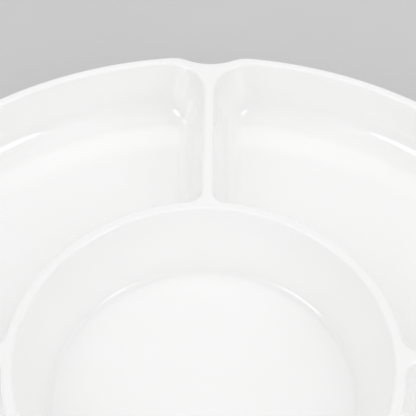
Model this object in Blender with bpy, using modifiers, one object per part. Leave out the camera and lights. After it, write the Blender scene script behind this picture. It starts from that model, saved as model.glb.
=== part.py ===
"""Chip and dip server: one moulded tray with four compartments round a dip bowl.

The tray is a shell of even thickness. Its rim, its four dividers and the ring
round the bowl share one flat top, and the dividers and the ring are hollow
underneath. It stands on four rubber pads, each set in the socket of a foot.

Units are metres, +Z is up, and z = 0 is the surface the server stands on.
The dividers lie along X and Y.
"""

import math

import bmesh
import bpy
from mathutils import Matrix, Vector

MM = 0.001

# --- driving dimensions -------------------------------------------------------

HEIGHT = 38 * MM            # from the table to the flat top of the rim
SHELL = 3 * MM              # thickness of the moulding
WELL_DEPTH = 28.5 * MM      # from the flat top to the floors

RIM_RADIUS = 165 * MM       # outside of the rim
RIM_LAND = 4 * MM           # flat top of the rim, measured inwards
NOTCH_DEPTH = 5 * MM        # how far the rim dips in at each divider
NOTCH_VALLEY_RADIUS = 24 * MM
NOTCH_SHOULDER_RADIUS = 13 * MM

DIVIDER_LAND = 4.3 * MM     # flat top of a divider
RING_OUTER_RADIUS = 74.9 * MM
BOWL_RADIUS = 70.8 * MM     # the bowl's mouth, and the inside of the ring

# each wall's slope from upright, and the radius with which it runs into the floor
RIM_WALL = (math.radians(3.2), 13 * MM)
INNER_WALL = (math.radians(15), 7.5 * MM)    # along the dividers and the ring
BOWL_WALL = (math.radians(20.4), 2.8 * MM)

RIM_CORNER_RADIUS = 18 * MM     # a compartment's corners, at the flat top
RING_CORNER_RADIUS = 6.8 * MM
RING_CORNER_SHRINKAGE = 0.25    # how fast it tightens as the walls come in

COMPARTMENTS = 4
FOOT_CENTRE_RADIUS = 132 * MM
FOOT_RADIUS = 10.5 * MM
FOOT_UNDERSIDE = 1.2 * MM   # height of a foot's rim above the table
PAD_RADIUS = 7.5 * MM
PAD_THICKNESS = 3 * MM
PAD_EDGE_RADIUS = 0.4 * MM
FIT_GAP = 0.3 * MM          # between a pad and its socket

# --- sizes worked out from them -----------------------------------------------

QUARTER_TURN = math.pi / 2
FLOOR_TOP = HEIGHT - WELL_DEPTH
FLOOR_UNDERSIDE = FLOOR_TOP - SHELL
WELL_OUTER_RADIUS = RIM_RADIUS - RIM_LAND
SOCKET_RADIUS = PAD_RADIUS + FIT_GAP
SOCKET_ROOF = PAD_THICKNESS + FIT_GAP

OVERSHOOT = 1 * MM          # how far a cutter stands out of the tray
BURIAL = 0.5 * MM           # how far a joined piece stops short of the flat top

# --- facets -------------------------------------------------------------------

RIM_ARC_STEPS = 14
NOTCH_VALLEY_STEPS = 8
NOTCH_SHOULDER_STEPS = 4
WELL_OUTER_ARC_STEPS = 14
WELL_INNER_ARC_STEPS = 9
CORNER_STEPS = 6
FILLET_STEPS = 6
BOWL_STEPS = 60
FOOT_STEPS = 28


# --- scene and materials ------------------------------------------------------

def clear_scene():
    for item in list(bpy.data.objects):
        bpy.data.objects.remove(item, do_unlink=True)


def new_collection(name):
    collection = bpy.data.collections.new(name)
    bpy.context.scene.collection.children.link(collection)
    return collection


def new_material(name, colour, roughness):
    material = bpy.data.materials.new(name)
    material.use_nodes = True
    shader = material.node_tree.nodes["Principled BSDF"]
    shader.inputs["Base Color"].default_value = (*colour, 1.0)
    shader.inputs["Roughness"].default_value = roughness
    shader.inputs["Metallic"].default_value = 0.0
    return material


# --- outlines seen from above -------------------------------------------------

def polar(radius, angle, centre=(0.0, 0.0)):
    return Vector((centre[0] + radius * math.cos(angle), centre[1] + radius * math.sin(angle)))


def arc(centre, radius, start, end, steps):
    """Points along an arc, both ends included."""
    return [polar(radius, start + (end - start) * i / steps, centre) for i in range(steps + 1)]


def rim_outline():
    """The rim: a circle that dips in smoothly where each divider meets it."""
    valley_centre = RIM_RADIUS - NOTCH_DEPTH + NOTCH_VALLEY_RADIUS
    shoulder_centre = RIM_RADIUS - NOTCH_SHOULDER_RADIUS
    reach = NOTCH_VALLEY_RADIUS + NOTCH_SHOULDER_RADIUS
    # the triangle of the rim's, the valley's and the shoulder's centres
    shoulder_angle = math.acos(
        (shoulder_centre ** 2 + valley_centre ** 2 - reach ** 2) / (2 * shoulder_centre * valley_centre)
    )
    flank = math.asin(shoulder_centre * math.sin(shoulder_angle) / reach)

    points = []
    for i in range(COMPARTMENTS):
        divider = i * QUARTER_TURN
        following = divider + QUARTER_TURN
        points += arc(
            polar(valley_centre, divider), NOTCH_VALLEY_RADIUS,
            divider + math.pi + flank, divider + math.pi - flank, NOTCH_VALLEY_STEPS,
        )
        points += arc(
            polar(shoulder_centre, divider + shoulder_angle), NOTCH_SHOULDER_RADIUS,
            divider - flank, divider + shoulder_angle, NOTCH_SHOULDER_STEPS,
        )[1:]
        points += arc(
            (0.0, 0.0), RIM_RADIUS,
            divider + shoulder_angle, following - shoulder_angle, RIM_ARC_STEPS,
        )[1:]
        points += arc(
            polar(shoulder_centre, following - shoulder_angle), NOTCH_SHOULDER_RADIUS,
            following - shoulder_angle, following + flank, NOTCH_SHOULDER_STEPS,
        )[1:-1]
    return points


def well_outline(rim_inset, inner_inset):
    """One compartment, between the dividers along +X and +Y.

    Its rim wall is moved in by rim_inset, and its walls along the dividers and the ring by inner_inset.
    """
    wall = DIVIDER_LAND / 2 + inner_inset
    outer = WELL_OUTER_RADIUS - rim_inset
    inner = RING_OUTER_RADIUS + inner_inset
    rim_corner = RIM_CORNER_RADIUS - rim_inset
    ring_corner = RING_CORNER_RADIUS - RING_CORNER_SHRINKAGE * inner_inset

    # the angle of each corner's centre above the divider along +X
    rim_angle = math.asin((wall + rim_corner) / (outer - rim_corner))
    ring_angle = math.asin((wall + ring_corner) / (inner + ring_corner))

    points = arc(
        polar(inner + ring_corner, ring_angle), ring_corner,
        ring_angle + math.pi, 3 * QUARTER_TURN, CORNER_STEPS,
    )
    points += arc(
        polar(outer - rim_corner, rim_angle), rim_corner,
        -QUARTER_TURN, rim_angle, CORNER_STEPS,
    )
    points += arc((0.0, 0.0), outer, rim_angle, QUARTER_TURN - rim_angle, WELL_OUTER_ARC_STEPS)[1:]
    points += arc(
        polar(outer - rim_corner, QUARTER_TURN - rim_angle), rim_corner,
        QUARTER_TURN - rim_angle, math.pi, CORNER_STEPS,
    )[1:]
    points += arc(
        polar(inner + ring_corner, QUARTER_TURN - ring_angle), ring_corner,
        math.pi, 3 * QUARTER_TURN - ring_angle, CORNER_STEPS,
    )
    points += arc(
        (0.0, 0.0), inner, QUARTER_TURN - ring_angle, ring_angle, WELL_INNER_ARC_STEPS,
    )[1:-1]
    return points


# --- walls seen in section ----------------------------------------------------
# A wall's thickness is 0 for its face inside the hollow, and SHELL for its face outside.

def inset_at(z, wall, thickness):
    """How far in from the hollow's mouth a wall stands at height z."""
    draft, fillet = wall
    floor_starts = WELL_DEPTH * math.tan(draft) + fillet * math.tan((QUARTER_TURN - draft) / 2)
    drop = FLOOR_TOP + fillet - z
    radius = fillet + thickness
    if drop > radius * math.sin(draft):
        return floor_starts - math.sqrt(max(radius ** 2 - drop ** 2, 0.0))
    return floor_starts - radius / math.cos(draft) + drop * math.tan(draft)


def section_heights(wall, thickness, top):
    """Heights from top down to the flat floor, close together where the wall curves into it."""
    draft, fillet = wall
    heights = [top]
    for i in range(FILLET_STEPS + 1):
        angle = draft + (QUARTER_TURN - draft) * i / FILLET_STEPS
        heights.append(FLOOR_TOP + fillet - (fillet + thickness) * math.sin(angle))
    return heights


# --- solids -------------------------------------------------------------------

def mesh_object(name, mesh, collection, location=(0.0, 0.0, 0.0), turn=0.0):
    item = bpy.data.objects.new(name, mesh)
    item.location = location
    item.rotation_euler.z = turn
    collection.objects.link(item)
    return item


def loft_mesh(name, rings):
    """A closed mesh through rings of points that differ in shape but not in number."""
    bm = bmesh.new()
    loops = [[bm.verts.new(point) for point in ring] for ring in rings]
    for upper, lower in zip(loops, loops[1:]):
        for i in range(len(upper)):
            j = (i + 1) % len(upper)
            bm.faces.new((upper[i], upper[j], lower[j], lower[i]))
    bm.faces.new(loops[0])
    bm.faces.new(loops[-1])
    bmesh.ops.recalc_face_normals(bm, faces=bm.faces)
    mesh = bpy.data.meshes.new(name)
    bm.to_mesh(mesh)
    bm.free()
    return mesh


def well_mesh(name, thickness, top):
    """A compartment's hollow, or with the shell's thickness, the shape of its outside."""
    rings = []
    for z in section_heights(RIM_WALL, thickness, top):
        outline = well_outline(inset_at(z, RIM_WALL, thickness), inset_at(z, INNER_WALL, thickness))
        rings.append([(*point, z) for point in outline])
    return loft_mesh(name, rings)


def turned_object(name, profile, steps, collection):
    """A solid of revolution about Z, from a profile of (radius, z) that starts and ends on the axis."""
    bm = bmesh.new()
    points = [bm.verts.new((radius, 0.0, z)) for radius, z in profile]
    for start, end in zip(points, points[1:]):
        bm.edges.new((start, end))
    mesh = bpy.data.meshes.new(name)
    bm.to_mesh(mesh)
    bm.free()

    item = mesh_object(name, mesh, collection)
    screw = item.modifiers.new("turn", "SCREW")
    screw.steps = steps
    screw.render_steps = steps
    screw.use_merge_vertices = True
    screw.merge_threshold = 0.01 * MM
    return item


def bowl_object(name, thickness, top, collection):
    """The dip bowl's hollow, or with the shell's thickness, the shape of its outside."""
    heights = section_heights(BOWL_WALL, thickness, top)
    profile = [(0.0, top)]
    profile += [(BOWL_RADIUS - inset_at(z, BOWL_WALL, thickness), z) for z in heights]
    profile += [(0.0, heights[-1])]
    return turned_object(name, profile, BOWL_STEPS, collection)


def cylinder_mesh(name, radius, bottom, top):
    bm = bmesh.new()
    bmesh.ops.create_cone(
        bm, cap_ends=True, segments=FOOT_STEPS, radius1=radius, radius2=radius,
        depth=top - bottom, matrix=Matrix.Translation((0.0, 0.0, (bottom + top) / 2)),
    )
    mesh = bpy.data.meshes.new(name)
    bm.to_mesh(mesh)
    bm.free()
    return mesh


def top_plate(collection):
    """The flat top that joins the rim, the dividers and the ring, before its hollows are cut."""
    curve = bpy.data.curves.new("top_outline", "CURVE")
    curve.dimensions = "2D"
    curve.fill_mode = "BOTH"
    curve.extrude = SHELL / 2
    outline = rim_outline()
    spline = curve.splines.new("POLY")
    spline.points.add(len(outline) - 1)
    for point, place in zip(spline.points, outline):
        point.co = (*place, 0.0, 1.0)
    spline.use_cyclic_u = True

    flat = bpy.data.objects.new("top_outline", curve)
    flat.location.z = HEIGHT - SHELL / 2
    collection.objects.link(flat)
    bpy.context.view_layer.update()
    mesh = bpy.data.meshes.new_from_object(flat.evaluated_get(bpy.context.evaluated_depsgraph_get()))
    bm = bmesh.new()
    bm.from_mesh(mesh)
    bmesh.ops.remove_doubles(bm, verts=bm.verts, dist=0.01 * MM)
    bm.to_mesh(mesh)
    bm.free()

    plate = bpy.data.objects.new("tray", mesh)
    plate.matrix_world = flat.matrix_world
    collection.objects.link(plate)
    bpy.data.objects.remove(flat, do_unlink=True)
    return plate


# --- the server ---------------------------------------------------------------

def foot_place(i):
    """The middle of foot i, halfway between two dividers."""
    return (*polar(FOOT_CENTRE_RADIUS, (i + 0.5) * QUARTER_TURN), 0.0)


def combine(target, operation, tools):
    for tool in tools:
        boolean = target.modifiers.new(f"{operation.lower()}_{tool.name}", "BOOLEAN")
        boolean.operation = operation
        boolean.solver = "EXACT"
        boolean.object = tool


def build_tray(parts, cutters, material):
    tray = top_plate(parts)
    tray.data.materials.clear()
    tray.data.materials.append(material)

    shell_top = HEIGHT - BURIAL
    cut_top = HEIGHT + OVERSHOOT
    shell = well_mesh("compartment_outside", SHELL, shell_top)
    hollow = well_mesh("compartment_hollow", 0.0, cut_top)
    boss = cylinder_mesh("foot_boss", FOOT_RADIUS, FOOT_UNDERSIDE, FLOOR_UNDERSIDE + SHELL / 2)
    socket = cylinder_mesh("foot_socket", SOCKET_RADIUS, FOOT_UNDERSIDE - OVERSHOOT, SOCKET_ROOF)

    added = []
    removed = []
    for i in range(COMPARTMENTS):
        turn = i * QUARTER_TURN
        added.append(mesh_object(f"compartment_outside_{i + 1}", shell, cutters, turn=turn))
        added.append(mesh_object(f"foot_boss_{i + 1}", boss, cutters, location=foot_place(i)))
        removed.append(mesh_object(f"compartment_hollow_{i + 1}", hollow, cutters, turn=turn))
        removed.append(mesh_object(f"foot_socket_{i + 1}", socket, cutters, location=foot_place(i)))
    added.append(bowl_object("bowl_outside", SHELL, shell_top, cutters))
    removed.append(bowl_object("bowl_hollow", 0.0, cut_top, cutters))
    combine(tray, "UNION", added)
    combine(tray, "DIFFERENCE", removed)

    for tool in added + removed:
        tool.hide_render = True
        tool.display_type = "WIRE"
    return tray


def build_pads(parts, material):
    mesh = cylinder_mesh("foot_pad", PAD_RADIUS, 0.0, PAD_THICKNESS)
    mesh.materials.append(material)
    for i in range(COMPARTMENTS):
        pad = mesh_object(f"foot_pad_{i + 1}", mesh, parts, location=foot_place(i))
        bevel = pad.modifiers.new("rounded_edge", "BEVEL")
        bevel.width = PAD_EDGE_RADIUS
        bevel.segments = 2
        bevel.limit_method = "ANGLE"


def main():
    clear_scene()
    parts = new_collection("chip_and_dip_server")
    cutters = new_collection("cutters")
    build_tray(parts, cutters, new_material("white_melamine", (0.92, 0.92, 0.91), 0.06))
    build_pads(parts, new_material("foot_rubber", (0.42, 0.42, 0.42), 0.75))


main()
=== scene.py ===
"""The looks of the chip and dip server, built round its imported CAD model.

The tray is remade as one smooth moulding, with rounded edges and the hollow
underside of its dividers and ring, and it stands on detailed rubber pads.
Units are metres and +Z is up. The dividers lie along X and Y.
"""

import math

import bmesh
import bpy
from mathutils import Matrix, Vector


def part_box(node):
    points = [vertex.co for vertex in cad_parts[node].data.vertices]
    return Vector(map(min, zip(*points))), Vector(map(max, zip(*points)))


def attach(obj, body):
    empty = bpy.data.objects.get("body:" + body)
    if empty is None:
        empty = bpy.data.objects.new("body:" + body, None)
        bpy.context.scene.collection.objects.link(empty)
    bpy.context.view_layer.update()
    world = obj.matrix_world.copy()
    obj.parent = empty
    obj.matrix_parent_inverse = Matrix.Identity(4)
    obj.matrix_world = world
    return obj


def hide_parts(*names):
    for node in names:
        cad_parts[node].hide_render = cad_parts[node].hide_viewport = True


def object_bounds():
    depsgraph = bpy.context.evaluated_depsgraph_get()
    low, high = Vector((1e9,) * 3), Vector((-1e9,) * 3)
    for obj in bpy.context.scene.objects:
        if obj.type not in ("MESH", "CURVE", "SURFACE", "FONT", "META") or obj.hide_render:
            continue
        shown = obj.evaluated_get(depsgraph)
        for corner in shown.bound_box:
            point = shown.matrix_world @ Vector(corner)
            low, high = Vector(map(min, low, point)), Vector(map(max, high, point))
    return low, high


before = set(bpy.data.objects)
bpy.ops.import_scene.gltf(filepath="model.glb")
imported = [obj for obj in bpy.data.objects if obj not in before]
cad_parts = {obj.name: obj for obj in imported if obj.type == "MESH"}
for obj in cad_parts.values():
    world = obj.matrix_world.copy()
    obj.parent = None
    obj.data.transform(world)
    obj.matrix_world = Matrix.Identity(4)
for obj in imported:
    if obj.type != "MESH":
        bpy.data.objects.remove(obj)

CAD_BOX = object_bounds()
MM = 0.001
SAME_POINT = 0.001 * MM            # points closer than this become one
QUARTER_TURN = math.pi / 2
COMPARTMENTS = 4

# --- the server's sizes -------------------------------------------------------

TOP = CAD_BOX[1][2]
SHELL = 3 * MM                     # thickness of the moulding
WELL_DEPTH = 28.5 * MM             # from the flat top to the floors
FLOOR_TOP = TOP - WELL_DEPTH
FLOOR_UNDERSIDE = FLOOR_TOP - SHELL

RIM_RADIUS = 165 * MM
RIM_LAND = 4 * MM                  # flat top of the rim, measured inwards
RIM_EDGE_RADIUS = 1.0 * MM
NOTCH_DEPTH = 5 * MM               # how far the rim dips in at each divider
NOTCH_VALLEY_RADIUS = 24 * MM
NOTCH_SHOULDER_RADIUS = 13 * MM

DIVIDER_LAND = 4.3 * MM            # flat top of a divider
RING_OUTER_RADIUS = 74.9 * MM
BOWL_RADIUS = 70.8 * MM
RING_CREST_RADIUS = 72.65 * MM     # where the compartments' side of the ring meets the bowl's

# each wall's slope from upright, and the radius with which it runs into the floor
RIM_WALL = (math.radians(3.2), 13 * MM)
INNER_WALL = (math.radians(15), 7.5 * MM)    # along the dividers and the ring
BOWL_WALL = (math.radians(20.4), 2.8 * MM)
WELL_EDGE_RADIUS = 1.3 * MM
BOWL_EDGE_RADIUS = 1.2 * MM
HOLD = 0.4 * MM                    # a flat face's own ring of points just inside a fillet

RIM_CORNER_RADIUS = 18 * MM        # a compartment's corners, at the flat top
RING_CORNER_RADIUS = 6.8 * MM
RING_CORNER_SHRINKAGE = 0.25       # how fast it tightens as the walls come in

# the crotch under a ridge: how far below the top the walls' plain stretch starts,
# how wide the rounding above it is, and how steeply it may rise where room is short
CROTCH_DEPTH = 6 * MM
CROTCH_WIDTH = 1.5 * MM
CROTCH_STEEPNESS = 3.4

FOOT_RADIUS = 10.5 * MM
FOOT_FILLET = 1.2 * MM
FOOT_EDGE_RADIUS = 0.5 * MM
FOOT_UNDERSIDE = 1.2 * MM          # height of a foot's rim above the table
FIT_GAP = 0.3 * MM                 # between a pad and its socket

PAD_EDGE_RADIUS = 0.5 * MM
PAD_GROOVE_DEPTH = 0.25 * MM
PAD_GROOVE_WIDTH = 0.5 * MM
PAD_GROOVE_RADII = (2.2 * MM, 4.0 * MM, 5.8 * MM)
# a groove's section: half widths across, and depths up
PAD_GROOVE_SECTION = ((-1.6, 0), (-1, 0), (-0.6, 0.8), (0, 1), (0.6, 0.8), (1, 0), (1.6, 0))

# --- the studio ---------------------------------------------------------------

STUDIO_FLOOR_REACH = 20.0          # how far the floor goes each way
AMBIENT = 0.40                     # brightness of the room beyond the lights
HIGHLIGHT = 5.0                    # brightness of the lights that only show as highlights

CAMERA_LENS = 95.18                # in millimetres, as is the sensor
CAMERA_SENSOR = 36.0
CAMERA_PLACE = (0.0062, -0.2250, TOP + 0.3451)
CAMERA_HEADING = math.radians(1.096)
CAMERA_TILT = math.radians(40.63)  # from looking straight down
CAMERA_ROLL = math.radians(-0.22)

# --- how finely it is built ---------------------------------------------------

SIDE_STEPS = 10
CORNER_STEPS = 14
CORNER_STEPS_ON_DIVIDER = 6
RING_CORNER_STEPS = 10
RING_CORNER_STEPS_ON_DIVIDER = 5
OUTER_ARC_STEPS = 44
INNER_ARC_STEPS = 26
EDGE_STEPS = 5
WALL_STEPS = 3
FILLET_STEPS = 16
CROTCH_ANGLES = (15, 30, 45, 60, 75, 85)    # in degrees, up from the wall
FOOT_STEPS = 48


# --- outlines seen from above -------------------------------------------------

def polar(radius, angle, centre=(0.0, 0.0)):
    return Vector((centre[0] + radius * math.cos(angle), centre[1] + radius * math.sin(angle)))


def arc(centre, radius, start, end, steps):
    """Points along an arc, both ends included."""
    return [polar(radius, start + (end - start) * i / steps, centre) for i in range(steps + 1)]


def between(start, end, steps):
    """Points along a straight line, both ends included."""
    return [start + (end - start) * i / steps for i in range(steps + 1)]


def mirrored(points):
    """The same points seen in the diagonal between two dividers, in reverse order."""
    return [Vector((point.y, point.x)) for point in reversed(points)]


def rim_point(angle, inset):
    """A point of the rim's outline at a polar angle, with the outline moved in by inset."""
    folded = angle % QUARTER_TURN
    folded = min(folded, QUARTER_TURN - folded)
    valley_centre = RIM_RADIUS - NOTCH_DEPTH + NOTCH_VALLEY_RADIUS
    shoulder_centre = RIM_RADIUS - NOTCH_SHOULDER_RADIUS
    reach = NOTCH_VALLEY_RADIUS + NOTCH_SHOULDER_RADIUS
    # the triangle of the rim's, the valley's and the shoulder's centres
    shoulder_angle = math.acos(
        (shoulder_centre ** 2 + valley_centre ** 2 - reach ** 2)
        / (2 * shoulder_centre * valley_centre)
    )
    valley_radius = NOTCH_VALLEY_RADIUS + inset
    shoulder_radius = NOTCH_SHOULDER_RADIUS - inset
    towards = polar(shoulder_centre, shoulder_angle) - Vector((valley_centre, 0.0))
    meeting = Vector((valley_centre, 0.0)) + towards * (valley_radius / reach)
    meeting_angle = math.atan2(meeting.y, meeting.x)

    if folded >= shoulder_angle:
        radius = RIM_RADIUS - inset
    elif folded >= meeting_angle:
        off = folded - shoulder_angle
        radius = shoulder_centre * math.cos(off) + math.sqrt(
            shoulder_radius ** 2 - (shoulder_centre * math.sin(off)) ** 2
        )
    else:
        radius = valley_centre * math.cos(folded) - math.sqrt(
            valley_radius ** 2 - (valley_centre * math.sin(folded)) ** 2
        )
    return polar(radius, angle)


def well_outline(rim_inset, inner_inset):
    """One compartment, between the dividers along +X and +Y.

    Its rim wall is moved in by rim_inset, and its walls along the dividers and the ring by
    inner_inset. The outline runs outwards along the divider on +X, round the rim, and back by the
    other divider.
    """
    wall = DIVIDER_LAND / 2 + inner_inset
    outer = RIM_RADIUS - RIM_LAND - rim_inset
    inner = RING_OUTER_RADIUS + inner_inset
    rim_corner = RIM_CORNER_RADIUS - rim_inset
    ring_corner = RING_CORNER_RADIUS - RING_CORNER_SHRINKAGE * inner_inset
    rim_angle = math.asin((wall + rim_corner) / (outer - rim_corner))
    ring_angle = math.asin((wall + ring_corner) / (inner + ring_corner))
    rim_centre = polar(outer - rim_corner, rim_angle)
    ring_centre = polar(inner + ring_corner, ring_angle)

    side = between(Vector((ring_centre.x, wall)), Vector((rim_centre.x, wall)), SIDE_STEPS)
    corner = arc(rim_centre, rim_corner, -QUARTER_TURN, rim_angle, CORNER_STEPS)
    outer_arc = arc((0.0, 0.0), outer, rim_angle, QUARTER_TURN - rim_angle, OUTER_ARC_STEPS)
    at_ring = arc(
        ring_centre, ring_corner, ring_angle + math.pi, 3 * QUARTER_TURN, RING_CORNER_STEPS,
    )
    inner_arc = arc((0.0, 0.0), inner, QUARTER_TURN - ring_angle, ring_angle, INNER_ARC_STEPS)
    return (
        side[:-1] + corner[:-1] + outer_arc[:-1] + mirrored(corner)[:-1] + mirrored(side)[:-1]
        + mirrored(at_ring)[:-1] + inner_arc[:-1] + at_ring[:-1]
    )


SIDE_START = 0
CORNER_START = SIDE_STEPS
OUTER_ARC_START = CORNER_START + CORNER_STEPS
SECOND_CORNER_START = OUTER_ARC_START + OUTER_ARC_STEPS
SECOND_SIDE_START = SECOND_CORNER_START + CORNER_STEPS
SECOND_RING_CORNER_START = SECOND_SIDE_START + SIDE_STEPS
INNER_ARC_START = SECOND_RING_CORNER_START + RING_CORNER_STEPS
RING_CORNER_START = INNER_ARC_START + INNER_ARC_STEPS
SPOKES = RING_CORNER_START + RING_CORNER_STEPS

# the spokes that end on the rim, and those that end on the ring's crest
RIM_SPOKES = range(
    CORNER_START + CORNER_STEPS_ON_DIVIDER,
    SECOND_SIDE_START - CORNER_STEPS_ON_DIVIDER + 1,
)
RING_SPOKES = range(
    SECOND_RING_CORNER_START + RING_CORNER_STEPS_ON_DIVIDER,
    SPOKES - RING_CORNER_STEPS_ON_DIVIDER + 1,
)


def spoke_ends():
    """For each point of a compartment's outline, the end of its spoke on the quarter's boundary.

    The boundary is the middle line of each divider, the rim, and the crest of the ring.
    """
    mouth = well_outline(0.0, 0.0)
    rim_angle = math.atan2(mouth[OUTER_ARC_START].y, mouth[OUTER_ARC_START].x)
    ring_angle = math.atan2(mouth[RING_CORNER_START].y, mouth[RING_CORNER_START].x)

    def rim(angle):
        return rim_point(angle, RIM_EDGE_RADIUS)

    side = [Vector((mouth[i].x, 0.0)) for i in range(SIDE_START, CORNER_START + 1)]
    corner = between(side[-1], rim(0.0), CORNER_STEPS_ON_DIVIDER)
    on_rim = CORNER_STEPS - CORNER_STEPS_ON_DIVIDER
    corner += [rim(rim_angle * i / on_rim) for i in range(1, on_rim + 1)]
    turn = QUARTER_TURN - 2 * rim_angle
    outer_arc = [rim(rim_angle + turn * i / OUTER_ARC_STEPS) for i in range(OUTER_ARC_STEPS + 1)]

    on_ring = RING_CORNER_STEPS - RING_CORNER_STEPS_ON_DIVIDER
    at_ring = arc((0.0, 0.0), RING_CREST_RADIUS, ring_angle, 0.0, on_ring)
    at_ring += between(at_ring[-1], side[0], RING_CORNER_STEPS_ON_DIVIDER)[1:]
    inner_arc = arc(
        (0.0, 0.0), RING_CREST_RADIUS, QUARTER_TURN - ring_angle, ring_angle, INNER_ARC_STEPS,
    )
    return (
        side[:-1] + corner[:-1] + outer_arc[:-1] + mirrored(corner)[:-1] + mirrored(side)[:-1]
        + mirrored(at_ring)[:-1] + inner_arc[:-1] + at_ring[:-1]
    )


# --- walls seen in section ----------------------------------------------------
# A wall's thickness is 0 for its face inside the hollow, and SHELL for its face outside.

def inset_at(z, wall, thickness):
    """How far in from the hollow's mouth a wall stands at height z."""
    draft, fillet = wall
    floor_starts = WELL_DEPTH * math.tan(draft) + fillet * math.tan((QUARTER_TURN - draft) / 2)
    drop = FLOOR_TOP + fillet - z
    radius = fillet + thickness
    if drop > radius * math.sin(draft):
        return floor_starts - math.sqrt(max(radius ** 2 - drop ** 2, 0.0))
    return floor_starts - radius / math.cos(draft) + drop * math.tan(draft)


def mouth_inset(z, wall, edge_radius):
    """The same for the face inside, with its edge on the flat top rounded."""
    draft, _ = wall
    depth = TOP - z
    if depth < edge_radius * (1 - math.sin(draft)):
        across = math.sqrt(max(edge_radius ** 2 - (edge_radius - depth) ** 2, 0.0))
        return across - edge_radius * math.tan((QUARTER_TURN - draft) / 2)
    return inset_at(z, wall, 0.0)


def lower_heights(wall, thickness, top):
    """Heights from top down to the flat floor, close together where the wall curves into it."""
    draft, fillet = wall
    heights = []
    for i in range(FILLET_STEPS + 1):
        angle = draft + (QUARTER_TURN - draft) * i / FILLET_STEPS
        heights.append(FLOOR_TOP + fillet - (fillet + thickness) * math.sin(angle))
    step = (top - heights[0]) / WALL_STEPS
    return [top - step * i for i in range(WALL_STEPS)] + heights


def inner_heights(wall, edge_radius):
    """The same from the flat top, with the edge's rounding."""
    draft, _ = wall
    heights = []
    for i in range(EDGE_STEPS):
        angle = QUARTER_TURN + (draft - QUARTER_TURN) * i / EDGE_STEPS
        heights.append(TOP - edge_radius * (1 - math.sin(angle)))
    return heights + lower_heights(wall, 0.0, TOP - edge_radius * (1 - math.sin(draft)))


# --- mesh helpers -------------------------------------------------------------

class Sheet:
    """Rows of points joined into one mesh, where points that coincide are shared."""

    def __init__(self):
        self.bm = bmesh.new()
        self.known = {}

    def point(self, place):
        key = tuple(round(value / SAME_POINT) for value in place)
        if key not in self.known:
            self.known[key] = self.bm.verts.new(place)
        return self.known[key]

    def face(self, corners):
        distinct = [c for i, c in enumerate(corners) if c is not corners[i - 1]]
        if len(distinct) > 2 and not self.bm.faces.get(distinct):
            self.bm.faces.new(distinct)

    def strips(self, rows, closed=True):
        """Quads between each row and the next."""
        made = [[self.point(place) for place in row] for row in rows]
        for upper, lower in zip(made, made[1:]):
            count = len(upper)
            for i in range(count if closed else count - 1):
                j = (i + 1) % count
                self.face([upper[i], upper[j], lower[j], lower[i]])
        return made

    def fill(self, *loops):
        """Flat faces that fill a loop of points, round any further loops inside it."""
        edges = []
        for loop in loops:
            for start, end in zip(loop, loop[1:] + loop[:1]):
                edges.append(self.bm.edges.get((start, end)) or self.bm.edges.new((start, end)))
        bmesh.ops.triangle_fill(self.bm, edges=edges, use_beauty=True)

    def finished(self, name):
        bmesh.ops.recalc_face_normals(self.bm, faces=self.bm.faces)
        for face in self.bm.faces:
            face.smooth = True
        mesh = bpy.data.meshes.new(name)
        self.bm.to_mesh(mesh)
        self.bm.free()
        item = bpy.data.objects.new(name, mesh)
        bpy.context.scene.collection.objects.link(item)
        return item


def turned(points, quarter):
    turn = Matrix.Rotation(quarter * QUARTER_TURN, 3, "Z")
    return [turn @ Vector(point) for point in points]


def circle_row(centre, radius, z, steps):
    return [(*point, z) for point in arc(centre, radius, 0.0, 2 * math.pi, steps)[:-1]]


# --- the tray -----------------------------------------------------------------

def crotch(start, end, height):
    """Points of a spoke's underside, from its end on the boundary down to the plain wall.

    start is the wall's top point, end the boundary's, and height how far the end is above it.
    """
    way = end - start
    length = way.length
    width = min(length, CROTCH_WIDTH)
    low = TOP - CROTCH_DEPTH
    points = [(*end, low + height)]
    for degrees in reversed(CROTCH_ANGLES):
        angle = math.radians(degrees)
        place = start + way * (width * (1 - math.cos(angle)) / length)
        points.append((*place, low + height * math.sin(angle)))
    return points


def crotch_height(spoke, start, end):
    if spoke in RIM_SPOKES:
        return CROTCH_DEPTH - SHELL
    return min(CROTCH_DEPTH - SHELL, CROTCH_STEEPNESS * (end - start).length)


def rim_edge_rows():
    """The rim's edge, from the flat top round to its underside, as (inset, z)."""
    upper = (RIM_EDGE_RADIUS, TOP - RIM_EDGE_RADIUS)
    lower = (RIM_EDGE_RADIUS, TOP - SHELL + RIM_EDGE_RADIUS)
    return (
        arc(upper, RIM_EDGE_RADIUS, QUARTER_TURN, math.pi, EDGE_STEPS)
        + arc(lower, RIM_EDGE_RADIUS, math.pi, 3 * QUARTER_TURN, EDGE_STEPS)
    )


def held(section):
    """The section with one more row on each of the flat faces it ends on."""
    first, last = section[0], section[-1]
    above = (*(inset - HOLD for inset in first[:-1]), first[-1])
    below = (*(inset + HOLD for inset in last[:-1]), last[-1])
    return [above, *section, below]


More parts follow.
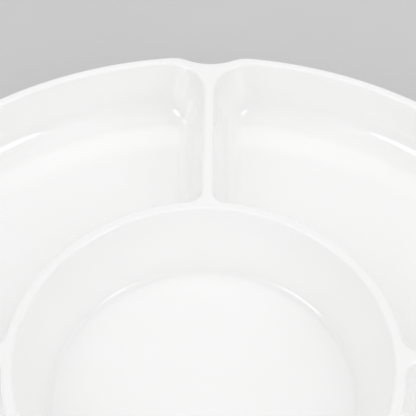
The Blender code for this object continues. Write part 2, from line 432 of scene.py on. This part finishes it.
def add_quarter(sheet, quarter):
    """One compartment, with the halves of its dividers that are nearest to it.

    Returns its boundary on the ring's crest.
    """
    ends = spoke_ends()

    # the top: flat land, then down into the compartment
    section = []
    for z in inner_heights(RIM_WALL, WELL_EDGE_RADIUS):
        insets = [mouth_inset(z, wall, WELL_EDGE_RADIUS) for wall in (RIM_WALL, INNER_WALL)]
        section.append((*insets, z))
    section = held(section)
    rows = [[(*end, TOP) for end in ends]]
    rows += [[(*point, z) for point in well_outline(rim, inner)] for rim, inner, z in section]
    made = sheet.strips([turned(row, quarter) for row in rows])
    sheet.fill(made[-1])

    # the underside: the crotch, then down the outside of the compartment
    section = []
    for z in lower_heights(RIM_WALL, SHELL, TOP - CROTCH_DEPTH):
        section.append((*(inset_at(z, wall, SHELL) for wall in (RIM_WALL, INNER_WALL)), z))
    section = held(section)[1:]
    wall_top = well_outline(*section[0][:2])
    heights = [crotch_height(i, wall_top[i], ends[i]) for i in range(SPOKES)]
    spokes = [crotch(wall_top[i], ends[i], heights[i]) for i in range(SPOKES)]
    rows = [[spoke[k] for spoke in spokes] for k in range(len(spokes[0]))]
    rows += [[(*point, z) for point in well_outline(rim, inner)] for rim, inner, z in section]
    made = sheet.strips([turned(row, quarter) for row in rows])
    sheet.fill(made[-1], add_foot(sheet, quarter))

    # the rim's edge
    angles = [math.atan2(ends[i].y, ends[i].x) for i in RIM_SPOKES]
    rows = [[(*rim_point(angle, inset), z) for angle in angles] for inset, z in rim_edge_rows()]
    sheet.strips([turned(row, quarter) for row in rows], closed=False)

    crest = [(ends[i % SPOKES], heights[i % SPOKES]) for i in reversed(RING_SPOKES)]
    return [(turned([(*end, 0.0)], quarter)[0].to_2d(), height) for end, height in crest[:-1]]


def add_foot(sheet, quarter):
    """A round foot with a socket for its pad. Returns the loop where it meets the floor's underside."""
    low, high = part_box(f"foot_pad_{quarter + 1}")
    centre = ((low[0] + high[0]) / 2, (low[1] + high[1]) / 2)
    socket_radius = (high[0] - low[0]) / 2 + FIT_GAP
    socket_roof = high[2] + FIT_GAP
    chamfer = FIT_GAP / 2

    fillet = (FOOT_RADIUS + FOOT_FILLET, FLOOR_UNDERSIDE - FOOT_FILLET)
    edge = (FOOT_RADIUS - FOOT_EDGE_RADIUS, FOOT_UNDERSIDE + FOOT_EDGE_RADIUS)
    profile = [(FOOT_RADIUS + FOOT_FILLET + HOLD, FLOOR_UNDERSIDE)]
    profile += arc(fillet, FOOT_FILLET, QUARTER_TURN, math.pi, EDGE_STEPS)
    profile += arc(edge, FOOT_EDGE_RADIUS, 0.0, -QUARTER_TURN, EDGE_STEPS)
    profile += [
        (FOOT_RADIUS - FOOT_EDGE_RADIUS - HOLD, FOOT_UNDERSIDE),
        (socket_radius + chamfer + HOLD, FOOT_UNDERSIDE),
        (socket_radius + chamfer, FOOT_UNDERSIDE),
        (socket_radius, FOOT_UNDERSIDE + chamfer),
        (socket_radius, socket_roof - chamfer),
        (socket_radius - chamfer, socket_roof),
        (socket_radius - chamfer - HOLD, socket_roof),
    ]
    made = sheet.strips([circle_row(centre, radius, z, FOOT_STEPS) for radius, z in profile])
    sheet.face(made[-1])
    return made[0]


def add_bowl(sheet, crest):
    """The dip bowl, from the ring's crest inwards, on both sides."""
    angles = [math.atan2(place.y, place.x) for place, height in crest]

    section = held([
        (mouth_inset(z, BOWL_WALL, BOWL_EDGE_RADIUS), z)
        for z in inner_heights(BOWL_WALL, BOWL_EDGE_RADIUS)
    ])
    rows = [[(*place, TOP) for place, height in crest]]
    rows += [[(*polar(BOWL_RADIUS - inset, angle), z) for angle in angles] for inset, z in section]
    sheet.fill(sheet.strips(rows)[-1])

    section = held([
        (inset_at(z, BOWL_WALL, SHELL), z)
        for z in lower_heights(BOWL_WALL, SHELL, TOP - CROTCH_DEPTH)
    ])[1:]
    wall_top = BOWL_RADIUS - section[0][0]
    spokes = [
        crotch(polar(wall_top, angle), place, height)
        for angle, (place, height) in zip(angles, crest)
    ]
    rows = [[spoke[k] for spoke in spokes] for k in range(len(spokes[0]))]
    rows += [[(*polar(BOWL_RADIUS - inset, angle), z) for angle in angles] for inset, z in section]
    sheet.fill(sheet.strips(rows)[-1])


def build_tray():
    sheet = Sheet()
    crest = []
    for quarter in range(COMPARTMENTS):
        crest += add_quarter(sheet, quarter)
    add_bowl(sheet, crest)
    return sheet.finished("tray_moulding")


# --- the foot pads ------------------------------------------------------------

def build_pad(node):
    """A rubber pad with a rounded edge, and grip grooves in the face it stands on."""
    low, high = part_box(node)
    centre = ((low[0] + high[0]) / 2, (low[1] + high[1]) / 2)
    radius = (high[0] - low[0]) / 2

    edge = radius - PAD_EDGE_RADIUS
    profile = [
        (groove + across * PAD_GROOVE_WIDTH / 2, low[2] + up * PAD_GROOVE_DEPTH)
        for groove in PAD_GROOVE_RADII
        for across, up in PAD_GROOVE_SECTION
    ]
    profile += arc((edge, low[2] + PAD_EDGE_RADIUS), PAD_EDGE_RADIUS, -QUARTER_TURN, 0.0, EDGE_STEPS)
    profile += arc((edge, high[2] - PAD_EDGE_RADIUS), PAD_EDGE_RADIUS, 0.0, QUARTER_TURN, EDGE_STEPS)
    sheet = Sheet()
    made = sheet.strips([circle_row(centre, r, z, FOOT_STEPS) for r, z in profile])
    sheet.face(made[0])
    sheet.face(made[-1])
    return sheet.finished(f"{node}_rubber")


# --- materials ----------------------------------------------------------------

def new_material(name):
    material = bpy.data.materials.new(name)
    material.use_nodes = True
    tree = material.node_tree
    return material, tree, tree.nodes["Principled BSDF"]


def noise(tree, size, detail=3.0, stretch=(1.0, 1.0, 1.0)):
    """A noise's output, with features about size metres across, fixed to the piece."""
    place = tree.nodes.new("ShaderNodeTexCoord")
    mapping = tree.nodes.new("ShaderNodeMapping")
    mapping.inputs["Scale"].default_value = stretch
    texture = tree.nodes.new("ShaderNodeTexNoise")
    texture.inputs["Scale"].default_value = 1 / size
    texture.inputs["Detail"].default_value = detail
    tree.links.new(place.outputs["Object"], mapping.inputs["Vector"])
    tree.links.new(mapping.outputs["Vector"], texture.inputs["Vector"])
    return texture.outputs["Fac"]


def colours(tree, value, low, high, start=0.3, end=0.7):
    """Two colours blended by value, as it goes from start to end."""
    ramp = tree.nodes.new("ShaderNodeValToRGB")
    ramp.color_ramp.elements[0].position = start
    ramp.color_ramp.elements[0].color = (*low, 1.0)
    ramp.color_ramp.elements[1].position = end
    ramp.color_ramp.elements[1].color = (*high, 1.0)
    tree.links.new(value, ramp.inputs["Fac"])
    return ramp.outputs["Color"]


def spread(tree, value, low, high, start=0.3, end=0.7):
    """A number that goes from low to high as value goes from start to end."""
    node = tree.nodes.new("ShaderNodeMapRange")
    node.inputs["From Min"].default_value = start
    node.inputs["From Max"].default_value = end
    node.inputs["To Min"].default_value = low
    node.inputs["To Max"].default_value = high
    tree.links.new(value, node.inputs["Value"])
    return node.outputs["Result"]


def total(tree, first, second):
    node = tree.nodes.new("ShaderNodeMath")
    node.operation = "ADD"
    tree.links.new(first, node.inputs[0])
    tree.links.new(second, node.inputs[1])
    return node.outputs["Value"]


def bumps(tree, shader, height, depth):
    """Raises the shader's surface by height times depth metres."""
    node = tree.nodes.new("ShaderNodeBump")
    node.inputs["Distance"].default_value = depth
    tree.links.new(height, node.inputs["Height"])
    tree.links.new(node.outputs["Normal"], shader.inputs["Normal"])


def melamine():
    """Glossy white moulding: a faint ripple, polished unevenly, with fine scuffs from use."""
    material, tree, shader = new_material("white_melamine")
    shader.inputs["IOR"].default_value = 1.55

    tint = colours(tree, noise(tree, 60 * MM, 2.0), (0.955, 0.955, 0.95), (0.97, 0.97, 0.967))
    tree.links.new(tint, shader.inputs["Base Color"])

    polish = spread(tree, noise(tree, 35 * MM), 0.025, 0.06)
    scuffs = spread(tree, noise(tree, 6 * MM, 6.0, (1.0, 14.0, 1.0)), 0.0, 0.07, 0.62, 0.78)
    crossing = spread(tree, noise(tree, 6 * MM, 6.0, (14.0, 1.0, 1.0)), 0.0, 0.07, 0.62, 0.78)
    roughness = total(tree, polish, total(tree, scuffs, crossing))
    tree.links.new(roughness, shader.inputs["Roughness"])

    grain = spread(tree, noise(tree, 0.8 * MM, 2.0), 0.0, 0.03)
    ripple = total(tree, noise(tree, 9 * MM, 1.0), grain)
    bumps(tree, shader, ripple, 0.03 * MM)
    return material


def rubber():
    """Matt grey rubber with a fine grain and a dusting of lighter specks."""
    material, tree, shader = new_material("foot_rubber")
    shader.inputs["Specular IOR Level"].default_value = 0.35
    grain = noise(tree, 0.5 * MM, 4.0)
    tint = colours(tree, grain, (0.36, 0.36, 0.36), (0.47, 0.47, 0.465), 0.35, 0.72)
    tree.links.new(tint, shader.inputs["Base Color"])
    tree.links.new(spread(tree, noise(tree, 3 * MM), 0.62, 0.82), shader.inputs["Roughness"])
    bumps(tree, shader, grain, 0.06 * MM)
    return material


# --- stage, light and camera --------------------------------------------------

def add_floor():
    reach = STUDIO_FLOOR_REACH
    corners = [(-reach, -reach, 0), (reach, -reach, 0), (reach, reach, 0), (-reach, reach, 0)]
    mesh = bpy.data.meshes.new("studio_floor")
    mesh.from_pydata(corners, [], [(0, 1, 2, 3)])
    floor = bpy.data.objects.new("studio_floor", mesh)
    bpy.context.scene.collection.objects.link(floor)

    material, tree, shader = new_material("studio_floor")
    shader.inputs["Roughness"].default_value = 0.9
    tint = colours(tree, noise(tree, 250 * MM), (0.60, 0.60, 0.60), (0.63, 0.63, 0.63))
    tree.links.new(tint, shader.inputs["Base Color"])
    floor.data.materials.append(material)


def add_softbox(name, azimuth, elevation, distance, size, radiance, shape="RECTANGLE"):
    """A panel of light that faces the object, size being its width and height.

    azimuth and elevation are in degrees, and radiance is the panel's own brightness.
    """
    width, height = size
    area = width * height * (math.pi / 4 if shape == "ELLIPSE" else 1)
    light = bpy.data.lights.new(name, "AREA")
    light.shape = shape
    light.size = width
    light.size_y = height
    light.energy = radiance * math.pi * area
    item = bpy.data.objects.new(name, light)
    turn = math.radians(azimuth)
    rise = math.radians(elevation)
    direction = Vector((
        math.cos(turn) * math.cos(rise), math.sin(turn) * math.cos(rise), math.sin(rise),
    ))
    item.location = direction * distance
    item.rotation_euler = direction.to_track_quat("Z", "Y").to_euler()
    bpy.context.scene.collection.objects.link(item)
    return item


def add_lights():
    """Soft light from all round, with two bright cores that only show as highlights."""
    unreflected = [
        add_softbox("right_front", -33.5, 22, 1.3, (0.50, 0.70), 1.55, "ELLIPSE"),
        add_softbox("left_front", -151, 22, 1.3, (0.78, 0.70), 1.04, "ELLIPSE"),
        add_softbox("back", 90, 30, 1.5, (1.6, 0.7), 0.82),
        add_softbox("back_overhead", 90, 62, 0.75, (0.5, 0.4), 1.40),
    ]
    for panel in unreflected:
        panel.visible_glossy = False
    add_softbox("right_front_high", -33, 48, 1.5, (0.8, 0.5), 0.67)
    add_softbox("left_front_high", -151, 48, 1.5, (0.8, 0.5), 0.79)
    add_softbox("right_side", 0, 38, 1.5, (1.2, 0.9), 0.66)
    add_softbox("left_side", 180, 38, 1.5, (1.2, 0.9), 0.47)
    add_softbox("front", -90, 35, 1.5, (2.4, 1.2), 0.54)
    add_softbox("overhead", -90, 80, 1.6, (1.6, 1.2), 0.54)
    cores = [
        add_softbox("right_core", -33, 28, 1.25, (0.47, 0.44), HIGHLIGHT, "ELLIPSE"),
        add_softbox("left_core", -152, 28, 1.25, (0.73, 0.44), HIGHLIGHT, "ELLIPSE"),
    ]
    for core in cores:
        core.visible_diffuse = False

    world = bpy.data.worlds.new("studio")
    world.use_nodes = True
    background = world.node_tree.nodes["Background"]
    background.inputs["Color"].default_value = (1.0, 1.0, 1.0, 1.0)
    background.inputs["Strength"].default_value = AMBIENT
    bpy.context.scene.world = world
    bpy.context.scene.view_settings.view_transform = "Standard"


def add_camera():
    data = bpy.data.cameras.new("camera")
    data.lens = CAMERA_LENS
    data.sensor_width = CAMERA_SENSOR
    camera = bpy.data.objects.new("camera", data)
    turn = (
        Matrix.Rotation(CAMERA_HEADING, 4, "Z")
        @ Matrix.Rotation(CAMERA_TILT, 4, "X")
        @ Matrix.Rotation(CAMERA_ROLL, 4, "Z")
    )
    camera.matrix_world = Matrix.Translation(CAMERA_PLACE) @ turn
    bpy.context.scene.collection.objects.link(camera)
    bpy.context.scene.camera = camera


# --- the scene ----------------------------------------------------------------

def main():
    tray = build_tray()
    tray.data.materials.append(melamine())
    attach(tray, "root")
    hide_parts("tray")

    pad_material = rubber()
    for i in range(COMPARTMENTS):
        node = f"foot_pad_{i + 1}"
        pad = build_pad(node)
        pad.data.materials.append(pad_material)
        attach(pad, "root")
        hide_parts(node)

    add_floor()
    add_lights()
    add_camera()


main()
